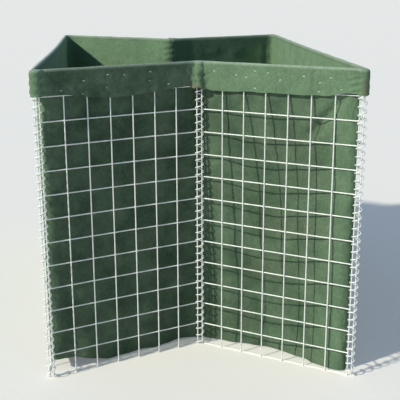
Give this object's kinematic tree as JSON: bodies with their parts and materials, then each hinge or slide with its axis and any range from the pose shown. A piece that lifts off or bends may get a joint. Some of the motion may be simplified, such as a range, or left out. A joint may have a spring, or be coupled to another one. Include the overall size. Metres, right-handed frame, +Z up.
{
  "type": "folding gabion cell",
  "caption": "Folding gabion cell of welded wire mesh panels joined by full-height coil hinges, lined with cloth turned over the rim, filled with earth or rubble as a barrier wall.",
  "frame": {"origin": "bottom centre of the bounding box, at ground level", "axes": "+Z up, +Y from the folded front face to the back, +X to the right seen from the front"},
  "size_m": [1.1306, 1.5598, 0.9974],
  "materials": {
    "mesh_wire": "galvanised, matt",
    "coil_wire": "galvanised, matt",
    "liner_cloth": "needled felt, matt",
    "cuff_cloth": "needled felt, matt"
  },
  "bodies": {
    "left_side": {"left_side_mesh": "mesh_wire", "left_side_liner": "liner_cloth", "left_side_cuff": "cuff_cloth", "front_left_coil": "coil_wire", "back_left_coil": "coil_wire"},
    "front_left": {"front_left_mesh": "mesh_wire", "front_left_liner": "liner_cloth", "front_left_cuff": "cuff_cloth", "front_centre_coil": "coil_wire"},
    "front_right": {"front_right_mesh": "mesh_wire", "front_right_liner": "liner_cloth", "front_right_cuff": "cuff_cloth"},
    "right_side": {"right_side_mesh": "mesh_wire", "right_side_liner": "liner_cloth", "right_side_cuff": "cuff_cloth", "front_right_coil": "coil_wire", "back_right_coil": "coil_wire"},
    "back_left": {"back_left_mesh": "mesh_wire", "back_left_liner": "liner_cloth", "back_left_cuff": "cuff_cloth"},
    "back_right": {"back_right_mesh": "mesh_wire", "back_right_liner": "liner_cloth", "back_right_cuff": "cuff_cloth", "back_centre_coil": "coil_wire"}
  },
  "joints": [
    {"name": "front_left_hinge", "type": "hinge", "parent": "left_side", "child": "front_left", "pos_m": [-0.42211, -0.76448, 0], "axis": [0, 0, 1], "range_deg": [-28, 37]},
    {"name": "front_centre_hinge", "type": "hinge", "parent": "front_left", "child": "front_right", "pos_m": [0.0642, -0.5059, 0], "axis": [0, 0, -1], "range_deg": [-56, 74]},
    {"name": "front_right_hinge", "type": "hinge", "parent": "front_right", "child": "right_side", "pos_m": [0.5505, -0.76448, 0], "axis": [0, 0, 1], "range_deg": [-28, 37]},
    {"name": "back_left_hinge", "type": "hinge", "parent": "left_side", "child": "back_left", "pos_m": [-0.5505, 0.76448, 0], "axis": [0, 0, -1], "range_deg": [-28, 37]},
    {"name": "back_right_hinge", "type": "hinge", "parent": "right_side", "child": "back_right", "pos_m": [0.42211, 0.76448, 0], "axis": [0, 0, 1], "range_deg": [-28, 37]}
  ],
  "couplings": [
    {"joint": "front_centre_hinge", "follows": "front_left_hinge", "ratio": 2},
    {"joint": "front_right_hinge", "follows": "front_left_hinge", "ratio": 1},
    {"joint": "back_left_hinge", "follows": "front_left_hinge", "ratio": 1},
    {"joint": "back_right_hinge", "follows": "front_left_hinge", "ratio": 1}
  ]
}
